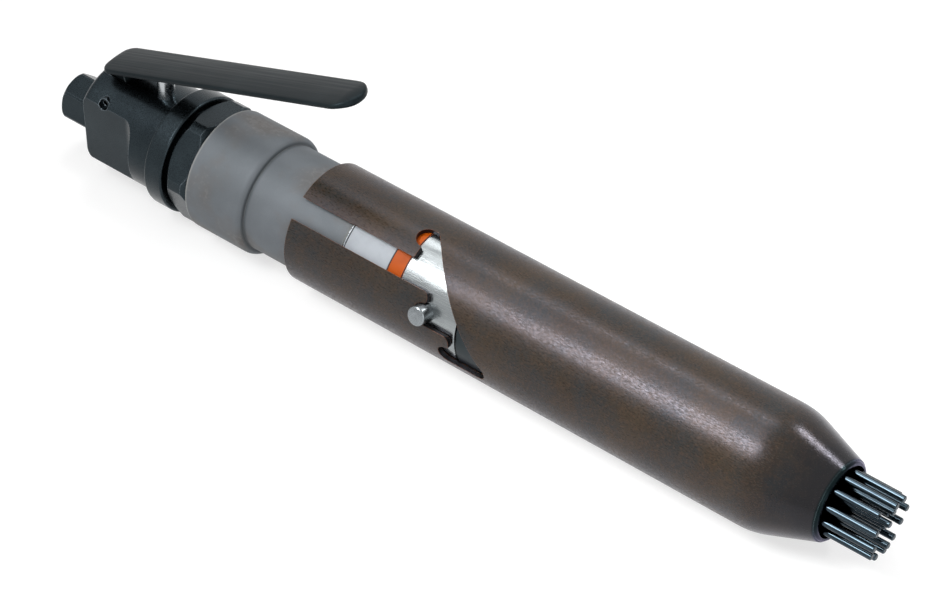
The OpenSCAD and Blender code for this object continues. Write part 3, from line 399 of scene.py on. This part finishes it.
# Phosphated: a dark, dull skin that holds oil
holder_dark = metal_finish("phosphated_holder_steel", "#2a3032", "#373e41", "#666d70",
                           0.42, 0.4, bump=0.06)
# Tempered in oil: grey wire with a smoky skin
spring_wire = metal_finish("oil_tempered_spring_wire", "#4a4e52", "#63676b", "#8b8f92",
                           0.34, 0.4, edge_mm=0.2)
# Machined brass: yellow, with a lighter edge where the tool left it
brass = metal_finish("machined_brass", "#a98a4e", "#c2a566", "#d9c084", 0.30, 0.3, bump=0.04)
# Moulded nitrile rubber: not a metal, nearly black and matt
seal_rubber = metal_finish("moulded_nitrile_rubber", "#151515", "#232323", "#2c2c2c",
                           0.62, 0.4, metallic=0.0, bump=0.1)
print("finishes", len(bpy.data.materials))

# %% [markdown]
# Each solid keeps its shape and takes the finish of its slot in the record. A loop over
# the record does that for all the solids at once. Two pieces then get a finish of their
# own: the plunger is ground and painted brighter than other turned steel, painted light
# that makes up for the lever's shadow on it, and the holder is darker than the hardened
# pieces inside.

# %% Dress the solids
FINISHES = {
    "black_oxide": black_oxide, "lever_steel": lever_coat, "bright_steel": bright,
    "barrel_steel": barrel_grey, "polished_steel": polished, "bronze_oxide": tube_brown,
    "needle_steel": needle_blue, "hardened_steel": hardened, "spring_steel": spring_wire,
    "rubber": seal_rubber, "brass": brass,
}
for part in frame["record"]["subparts"]:
    solid = nodes[part["node"]]
    solid.data.materials.clear()
    solid.data.materials.append(FINISHES[part["material_slot"]])
# Painted light: the plunger's lighter finish makes up for the lever's shadow
nodes["throttle_plunger"].data.materials[0] = plunger_painted_bright
nodes["needle_holder"].data.materials[0] = holder_dark
print("dressed", len(nodes))

# %% [markdown]
# New pieces start as a few points or a plain bmesh shape. One helper closes a bmesh into
# an object, smooths it, gives it its finish, hangs it from an empty for the body that
# carries it, and hides the solids it stands for. Many pieces are round, and the quickest
# way to a round piece is a lathe: an outline that Spin carries about X. A last helper
# gives the place of such a piece.


# %% Finish a piece
def finish_piece(bm, name, body, material, replaced=(), smooth_under=35):
    bmesh.ops.remove_doubles(bm, verts=bm.verts, dist=1e-7)
    bmesh.ops.recalc_face_normals(bm, faces=bm.faces)
    mesh = bpy.data.meshes.new(name)
    for face in bm.faces:
        face.smooth = True
    for edge in bm.edges:
        joined = len(edge.link_faces) == 2
        edge.smooth = joined and edge.calc_face_angle() < math.radians(smooth_under)
    bm.to_mesh(mesh)
    bm.free()
    piece = bpy.data.objects.new(name, mesh)
    bpy.context.scene.collection.objects.link(piece)
    mesh.materials.append(material)
    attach(piece, body)
    if replaced:
        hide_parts(*replaced)
    print(name, len(mesh.polygons), "faces")
    return piece


def placed(x, z, upright=False):
    """Moves a piece made about X to its axis, and stands it up if that is vertical."""
    stand = Matrix.Rotation(math.radians(-90), 4, "Y") if upright else Matrix.Identity(4)
    return Matrix.Translation((x * MM, 0, z * MM)) @ stand


def turn_profile(points, place, steps=64):
    """Spins a closed outline of (x, radius), in millimetres, about X."""
    bm = bmesh.new()
    verts = [bm.verts.new((x * MM, 0, r * MM)) for x, r in points]
    edges = [bm.edges.new((verts[i - 1], verts[i])) for i in range(len(verts))]
    bmesh.ops.spin(bm, geom=verts + edges, cent=(0, 0, 0), axis=(1, 0, 0), angle=math.tau,
                   steps=steps, use_merge=True)
    bmesh.ops.transform(bm, matrix=place, verts=bm.verts)
    return bm


# %% [markdown]
# The sleeve under the tube carries a plain two-colour tape of soft vinyl. It is satin
# and slightly soiled, so its colour and its shine follow the same noise. The tape could
# be painted on the sleeve, but its edge has a thickness that catches the light. So a
# small outline is spun about the axis for each colour, with dark lines at the seams.

# %% Vinyl tape
SOIL_MM = 5


def tape_finish(name, colour, soiled):
    material = bpy.data.materials.new(name)
    material.use_nodes = True
    tree = material.node_tree
    shader = tree.nodes["Principled BSDF"]
    place = add(tree, "ShaderNodeTexCoord").outputs["Object"]
    soil = add(tree, "ShaderNodeTexNoise", {
        "Vector": place, "Scale": per_mm(SOIL_MM), "Detail": 5.0})
    share = add(tree, "ShaderNodeMapRange", {
        "Value": soil.outputs["Fac"], "From Min": 0.45, "From Max": 0.75, "To Max": 0.5})
    body = add(tree, "ShaderNodeMix", {
        "Factor": share.outputs[0], FIRST: linear(colour), SECOND: linear(soiled),
    }, data_type="RGBA")
    shine = add(tree, "ShaderNodeMapRange", {
        "Value": soil.outputs["Fac"], "To Min": 0.38, "To Max": 0.54})
    shader.inputs["Specular IOR Level"].default_value = 0.16
    tree.links.new(body.outputs[BLEND], shader.inputs["Base Color"])
    tree.links.new(shine.outputs[0], shader.inputs["Roughness"])
    return material


white_tape = tape_finish("white_vinyl_tape", "#a2a7ad", "#8f949a")
orange_tape = tape_finish("orange_vinyl_tape", "#a84803", "#8e3c03")
black_line = tape_finish("black_vinyl_line", "#1b1b1c", "#2a2a2b")
sleeve_low, sleeve_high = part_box("front_sleeve")
SLEEVE_R = sleeve_high.y / MM
TAPE_X = sleeve_low.x / MM + 0.9
TAPE_GAP, TAPE_TOP, LINE_TOP, TAPE_STEPS = 0.02, 0.10, 0.13, 96
for name, start, width, top, material in (
    ("tape_white", 0.0, 23.6, TAPE_TOP, white_tape),
    ("tape_orange", 23.6, 8.0, TAPE_TOP, orange_tape),
    ("tape_line_rear", 0.3, 0.5, LINE_TOP, black_line),
    ("tape_line_mid", 23.3, 0.6, LINE_TOP, black_line),
    ("tape_line_front", 31.0, 0.5, LINE_TOP, black_line),
):
    x, under, over = TAPE_X + start, SLEEVE_R + TAPE_GAP, SLEEVE_R + top
    outline = [(x, under), (x + width, under), (x + width, over), (x, over)]
    bm = turn_profile(outline, placed(0, AXIS), TAPE_STEPS)
    finish_piece(bm, name, "tool_body", material)

# %% [markdown]
# The retaining pin is a turned stub that stands out of the slot and holds the tube. A
# bevelled cylinder would do from afar, but its end has a chamfer and a shallow centre
# mark from the lathe. So it is made as on a lathe too: its outline is spun, and then
# laid over to the side of the tube where its hole is.

# %% Retaining pin
PIN_TURN = 72
PIN_X, PIN_R, PIN_FOOT, PIN_END = 220.5, 4.3, 16.05, 31.8
lean = Matrix.Rotation(math.radians(PIN_TURN), 4, "X")
bm = turn_profile([
    (PIN_FOOT, 0), (PIN_FOOT, 3.8), (PIN_FOOT + 0.5, PIN_R), (PIN_END - 0.7, PIN_R),
    (PIN_END - 0.45, 4.2), (PIN_END - 0.15, 3.9), (PIN_END, 3.5), (PIN_END, 1.5),
    (PIN_END - 0.12, 1.3), (PIN_END - 0.12, 0.7), (PIN_END - 0.35, 0),
], placed(PIN_X, AXIS) @ lean @ placed(0, 0, upright=True), 48)
finish_piece(bm, "pin_turned", "tool_body", bright, ["retaining_pin"], 25)

# %% [markdown]
# The lever is pressed from plate: a long tongue with round corners, slightly crowned
# across, its rim rolled soft. It is made in the order of the press: a flat outline is
# cut, its corners are rounded, it gets its thickness, and its rims are bevelled. Last it
# is sliced along and across, because a face without inner points could not bend.

# %% Lever plate
LEVER_PIVOT = Vector((33.8 * MM, 0, (AXIS + 17.5) * MM))
TAIL, REACH, HALF, DROP = 3.0, 147.0, 10.3, 11.5
THICK, FRONT_CORNER, TAIL_CORNER, SOFT_RIM = 2.2, 9.8, 5.0, 0.8
CUT_Y = [1.4 * k for k in range(-6, 7)]
CUT_X = [10 * k for k in range(14)] + [140.2 + 0.7 * k for k in range(10)]
bm = bmesh.new()
corners = [bm.verts.new((x * MM, y * MM, 0)) for x, y in (
    (-TAIL, -HALF), (REACH, -HALF), (REACH, HALF), (-TAIL, HALF))]
bm.faces.new(corners)
for pair, radius in ((corners[1:3], FRONT_CORNER), ([corners[0], corners[3]], TAIL_CORNER)):
    bmesh.ops.bevel(bm, geom=pair, offset=radius * MM, offset_type="OFFSET",
                    affect="VERTICES", segments=10, profile=0.5, material=-1)
grown = bmesh.ops.extrude_face_region(bm, geom=bm.faces[:])["geom"]
raised = [v for v in grown if isinstance(v, bmesh.types.BMVert)]
bmesh.ops.translate(bm, verts=raised, vec=(0, 0, THICK * MM))
rims = [e for e in bm.edges if abs(e.verts[0].co.z - e.verts[1].co.z) < 1e-6]
bmesh.ops.bevel(bm, geom=rims, offset=SOFT_RIM * MM, offset_type="OFFSET", affect="EDGES",
                segments=4, profile=0.5, material=-1)
cuts = [((0, y * MM, 0), (0, 1, 0)) for y in CUT_Y] + [((x * MM, 0, 0), (1, 0, 0)) for x in CUT_X]
for point, normal in cuts:
    bmesh.ops.bisect_plane(bm, geom=bm.verts[:] + bm.edges[:] + bm.faces[:],
                           plane_co=point, plane_no=normal)
print("lever plate", len(bm.faces), "faces")

# %% [markdown]
# The press also gives the plate its crown and bends the front lip down round a form.
# Both are smooth functions of a point's place, so each point is moved by itself: it is
# raised most in the middle of the plate, and past the bend it drops along a circle.

# %% Crown and lip of the lever
CROWN, LIP_R, LIP_ANGLE = 0.9, 20.0, 20.0
BEND = (REACH - LIP_R * math.sin(math.radians(LIP_ANGLE))) * MM
for v in bm.verts:
    v.co.z *= 1 + CROWN / THICK * (1 - (v.co.y / (HALF * MM)) ** 2)
    past = max(0.0, v.co.x - BEND)
    bend_r = LIP_R * MM + v.co.z
    v.co.z += DROP * MM - (bend_r - math.sqrt(bend_r * bend_r - past * past))
print("lip bends at", round(BEND / MM, 1))

# %% [markdown]
# Under the plate hangs the tongue that turns on the pin. It could be a block with a hole
# cut by a boolean, but two circles are cleaner: they are bridged to a ring, and the upper
# half of the outer one is drawn up into the plate. The ring then gets its width, and the
# whole lever is tipped to its slope about the pin.

# %% Lever tongue
TONGUE_R, TONGUE_W, BORE_R, RING_SIDES = 4.4, 9.4, 2.56, 48
INTO_PLATE, TONGUE_BACK = 1.0, 0.6
lay = Matrix.Rotation(math.radians(90), 4, "X")
outer, inner = (
    bmesh.ops.create_circle(bm, segments=RING_SIDES, radius=r * MM, matrix=lay)["verts"]
    for r in (TONGUE_R, BORE_R))
for v in outer:
    if v.co.z > 1e-6:
        v.co.z = (DROP + INTO_PLATE) * MM
        v.co.x = max(v.co.x, (TONGUE_BACK - TAIL) * MM)
loops = list({e for v in outer + inner for e in v.link_edges})
ring = bmesh.ops.bridge_loops(bm, edges=loops)["faces"]
bmesh.ops.translate(bm, verts=outer + inner, vec=(0, -TONGUE_W / 2 * MM, 0))
grown = bmesh.ops.extrude_face_region(bm, geom=ring)["geom"]
moved = [v for v in grown if isinstance(v, bmesh.types.BMVert)]
bmesh.ops.translate(bm, verts=moved, vec=(0, TONGUE_W * MM, 0))
tilt = Matrix.Translation(LEVER_PIVOT) @ Matrix.Rotation(math.radians(-LEVER_SLOPE), 4, "Y")
bmesh.ops.transform(bm, matrix=tilt, verts=bm.verts)
finish_piece(bm, "lever_pressed", "lever", lever_coat, ["throttle_lever"])

# %% [markdown]
# A spring is wire wound round a mandrel: a circle, carried around and along at once. A
# curve with a bevel could do it, but Spin makes a mesh straight away when it is given a
# step along the axis. The end turns lie close, as on a ground compression spring, so the
# wire is wound in runs with their own pitch, each from the circle where the last one
# stopped.

# %% Wound wire
CLOSE_GAP = 0.5


def wound_wire(coil_r, wire_r, runs, place, sides=10, steps=32):
    """Winds wire along X in runs, each a number of turns and their pitch in millimetres."""
    bm = bmesh.new()
    aside = Matrix.Translation((0, 0, -coil_r * MM)) @ Matrix.Rotation(math.radians(90), 4, "X")
    ring = bmesh.ops.create_circle(bm, segments=sides, radius=wire_r * MM, matrix=aside)["verts"]
    last = ring + list({e for v in ring for e in v.link_edges})
    first_loop = [e for e in last if isinstance(e, bmesh.types.BMEdge)]
    for turns, pitch in runs:
        last = bmesh.ops.spin(bm, geom=last, cent=(0, 0, 0), axis=(-1, 0, 0),
                              dvec=(pitch * MM / steps, 0, 0), angle=turns * math.tau,
                              steps=round(turns * steps))["geom_last"]
    last_loop = [e for e in last if isinstance(e, bmesh.types.BMEdge)]
    bmesh.ops.holes_fill(bm, edges=first_loop + last_loop, sides=0)
    bmesh.ops.transform(bm, matrix=place, verts=bm.verts)
    return bm


# %% [markdown]
# The throttle spring stands on the cap and is pressed from above by the valve. A real
# spring keeps its wire and loses its gaps. Here it is wound as it stands, with a close
# turn at each end.

# %% Throttle spring
VALVE_X = 56.3
THROTTLE_FOOT, THROTTLE_HEAD, THROTTLE_WIRE, THROTTLE_COIL = -16.5, -5.2, 0.45, 4.4
close = 2 * THROTTLE_WIRE + CLOSE_GAP
pitch = (THROTTLE_HEAD - THROTTLE_FOOT - 2 * close) / 3
coil = wound_wire(THROTTLE_COIL, THROTTLE_WIRE, ((1, close), (3, pitch), (1, close)),
                  placed(VALVE_X, AXIS + THROTTLE_FOOT, True))
spring = finish_piece(coil, "throttle_spring_wound", "tool_body", spring_wire,
                      ["throttle_spring"])
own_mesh(spring)

# %% [markdown]
# The needle spring is pressed from both ends: the holder drives its rear end forward,
# and the tube pushes its front end back. A piece can follow only one joint, so it is
# wound as two halves that meet at a cut in the middle turn.

# %% Needle spring
NEEDLE_BACK, NEEDLE_FRONT, NEEDLE_WIRE, NEEDLE_COIL = 270.15, 391.0, 1.5, 20.6
HALF_TURNS = 6.5
close = 2 * NEEDLE_WIRE + CLOSE_GAP
pitch = (NEEDLE_FRONT - NEEDLE_BACK - 2 * close) / (2 * HALF_TURNS)
MIDDLE = (NEEDLE_BACK + NEEDLE_FRONT) / 2
rear_place = placed(NEEDLE_BACK, AXIS)
front_place = placed(MIDDLE, AXIS) @ Matrix.Rotation(math.pi, 4, "X")
rear_runs, front_runs = ((1, close), (HALF_TURNS, pitch)), ((HALF_TURNS, pitch), (1, close))
for name, runs, place, joint, keep in (
    ("needle_spring_rear", rear_runs, rear_place, "holder_slide", 0.805),
    ("needle_spring_front", front_runs, front_place, "tube_slide", 0.836),
):
    coil = wound_wire(NEEDLE_COIL, NEEDLE_WIRE, runs, place)
    spring = finish_piece(coil, name, "tool_body", spring_wire, ["needle_spring"])
    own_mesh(spring)

# %% [markdown]
# Three rubber pieces sit inside: two sealing rings, round in section with the thin flash
# line that a mould leaves, and the buffer behind the anvil, a flat washer with rounded
# rims. A torus would be quick, but it has no flash line, so all three are outlines spun
# about their axes.

# %% Rubber rings
FLASH, ROUND_UNDER = 1.03, 60
BUFFER_REAR, BUFFER_FRONT, BUFFER_HOLE, BUFFER_R = 233.4, 236.4, 9.3, 18.0


def ring_outline(ring_r, section_r, count=20):
    turns = [math.tau * k / count for k in range(count)]
    reach = [section_r * FLASH if k % (count // 2) == 0 else section_r for k in range(count)]
    return [(section_r * math.sin(a), ring_r + r * math.cos(a)) for a, r in zip(turns, reach)]


for name, ring_r, section_r, height, node in (
    ("plunger_seal_ring", 4.86, 0.87, 21.28, "plunger_seal"),
    ("cap_seal_ring", 8.35, 0.68, -20.3, "valve_cap_seal"),
):
    bm = turn_profile(ring_outline(ring_r, section_r), placed(VALVE_X, AXIS + height, True))
    finish_piece(bm, name, "tool_body", seal_rubber, [node], ROUND_UNDER)
bm = turn_profile([
    (BUFFER_REAR, BUFFER_HOLE + 0.6), (BUFFER_REAR, BUFFER_R - 0.6),
    (BUFFER_REAR + 0.2, BUFFER_R - 0.15), (BUFFER_REAR + 0.6, BUFFER_R),
    (BUFFER_FRONT - 0.6, BUFFER_R), (BUFFER_FRONT - 0.2, BUFFER_R - 0.15),
    (BUFFER_FRONT, BUFFER_R - 0.6), (BUFFER_FRONT, BUFFER_HOLE + 0.6),
    (BUFFER_FRONT - 0.2, BUFFER_HOLE + 0.15), (BUFFER_FRONT - 0.6, BUFFER_HOLE),
    (BUFFER_REAR + 0.6, BUFFER_HOLE), (BUFFER_REAR + 0.2, BUFFER_HOLE + 0.15),
], placed(0, AXIS))
finish_piece(bm, "buffer_washer", "tool_body", seal_rubber, ["anvil_buffer"],
             ROUND_UNDER)

# %% [markdown]
# The air inlet is tapped for a pipe fitting. A bump pattern would be enough inside a
# dark hole, but it would not be part of the mesh. So the thread is a real three-cornered
# ridge on the wall of the bore, wound like the springs, at 19 turns to the inch.

# %% Inlet thread
PITCH, THREAD_STEPS, THREAD_TURNS = 25.4 / 19, 40, 9
THREAD_ROOT, THREAD_CREST = 7.35, 6.5
RIDGE_X = (0.7, 1.95, 1.325)
bm = bmesh.new()
ridge = [bm.verts.new((x * MM, 0, r * MM)) for x, r in zip(
    RIDGE_X, (THREAD_ROOT, THREAD_ROOT, THREAD_CREST))]
first_loop = [bm.edges.new((ridge[k - 1], ridge[k])) for k in range(3)]
last = bmesh.ops.spin(bm, geom=ridge + first_loop, cent=(0, 0, 0), axis=(-1, 0, 0),
                      dvec=(PITCH * MM / THREAD_STEPS, 0, 0), angle=THREAD_TURNS * math.tau,
                      steps=THREAD_TURNS * THREAD_STEPS)["geom_last"]
last_loop = [e for e in last if isinstance(e, bmesh.types.BMEdge)]
bmesh.ops.holes_fill(bm, edges=first_loop + last_loop, sides=0)
finish_piece(bm, "inlet_thread", "tool_body", black_oxide, (), 30)

# %% [markdown]
# The tool lies on a large sheet of white studio paper. A white that only the lamps make
# would need so much light that the tool washes out. So the paper glows to the camera and
# in reflections, and a third of its white is still lit by the lamps, which keeps a soft
# shadow. The Light Path node tells the two apart, for the paper and for the world.

# %% Floor
FLOOR_GAP, FLOOR_HALF = 0.5, 4
PAPER, SHADED_PAPER, GLOW = 0.62, 0.42, 0.64


def mirrored_or_seen(tree):
    """One for a ray from the camera, a mirror or a glass, and nought for any other."""
    path = add(tree, "ShaderNodeLightPath").outputs
    seen = add(tree, "ShaderNodeMath", {
        0: path["Is Camera Ray"], 1: path["Is Glossy Ray"]}, operation="MAXIMUM")
    seen = add(tree, "ShaderNodeMath", {
        0: seen.outputs[0], 1: path["Is Transmission Ray"]}, operation="MAXIMUM")
    return seen.outputs[0]


floor_z = min(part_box(name)[0].z for name in nodes) - FLOOR_GAP * MM
bm = bmesh.new()
bmesh.ops.create_grid(bm, x_segments=1, y_segments=1, size=FLOOR_HALF,
                      matrix=Matrix.Translation((0, 0, floor_z)))
floor_mesh = bpy.data.meshes.new("floor")
bm.to_mesh(floor_mesh)
bm.free()
floor = bpy.data.objects.new("floor", floor_mesh)
bpy.context.scene.collection.objects.link(floor)
paper = bpy.data.materials.new("white_studio_paper")
paper.use_nodes = True
tree = paper.node_tree
sheet = add(tree, "ShaderNodeBsdfDiffuse", {"Color": (PAPER, PAPER, PAPER, 1)})
shade = add(tree, "ShaderNodeBsdfDiffuse", {
    "Color": (SHADED_PAPER, SHADED_PAPER, SHADED_PAPER, 1)})
glow = add(tree, "ShaderNodeEmission", {"Color": (1, 1, 1, 1), "Strength": GLOW})
lit = add(tree, "ShaderNodeAddShader", {0: shade.outputs[0], 1: glow.outputs[0]})
mixed = add(tree, "ShaderNodeMixShader", {
    0: mirrored_or_seen(tree), 1: sheet.outputs[0], 2: lit.outputs[0]})
tree.links.new(mixed.outputs[0], tree.nodes["Material Output"].inputs["Surface"])
floor_mesh.materials.append(paper)
print("floor at", round(floor_z / MM, 2))

# %% [markdown]
# The world is white to the camera and in reflections, and a plain grey light to all
# other rays. An evenly lit room would leave the tube flat, because a round dark piece is
# read by what it mirrors. So two soft boxes hang over the front half of the tool and draw
# the two bands of light along the tube, and a wide one between them, held in by a grid,
# lifts the dark between the bands. A small box draws the line on the taper, and a broad
# one fills the near side.

# %% World and lamps
ROOM_LIGHT = 0.55
world = bpy.data.worlds.new("studio")
bpy.context.scene.world = world
world.use_nodes = True
tree = world.node_tree
level = add(tree, "ShaderNodeMapRange", {
    "Value": mirrored_or_seen(tree), "To Min": ROOM_LIGHT, "To Max": 1.0})
tree.links.new(level.outputs[0], tree.nodes["Background"].inputs["Strength"])
tree.nodes["Background"].inputs["Color"].default_value = (1, 1, 1, 1)


def soft_box(name, aim, way, distance, width, length, power, spread=180):
    """A rectangular lamp that hangs off a point of the tool, along a direction."""
    lamp = bpy.data.lights.new(name, "AREA")
    lamp.shape = "RECTANGLE"
    lamp.size, lamp.size_y, lamp.energy = width, length, power
    lamp.spread = math.radians(spread)
    holder = bpy.data.objects.new(name, lamp)
    way = Vector(way).normalized()
    side = Vector((1, 0, 0)) - way * way.x
    side.normalize()
    across = way.cross(side)
    turn = Matrix((across, side, way)).transposed().to_4x4()
    holder.matrix_world = Matrix.Translation(Vector(aim) + way * distance) @ turn
    bpy.context.scene.collection.objects.link(holder)


soft_box("key_box", (0.45, 0, 0), (-0.42, -0.475, 0.773), distance=1.3,
         width=0.50, length=0.45, power=1.45, spread=50)
soft_box("back_box", (0.40, 0, 0), (-0.42, 0.346, 0.839), distance=1.3,
         width=0.25, length=0.45, power=2.9)
soft_box("top_box", (0.41, 0, 0), (-0.40, -0.06, 0.915), distance=1.3,
         width=0.90, length=0.45, power=0.22, spread=30)
soft_box("nose_box", (0.398, 0, 0.02), (0.14, 0.65, 0.748), distance=1.0,
         width=0.10, length=0.16, power=2.1)
soft_box("front_fill", (0.2, 0, 0), (0.85, -0.50, 0.30), distance=1.6,
         width=0.8, length=0.8, power=4)
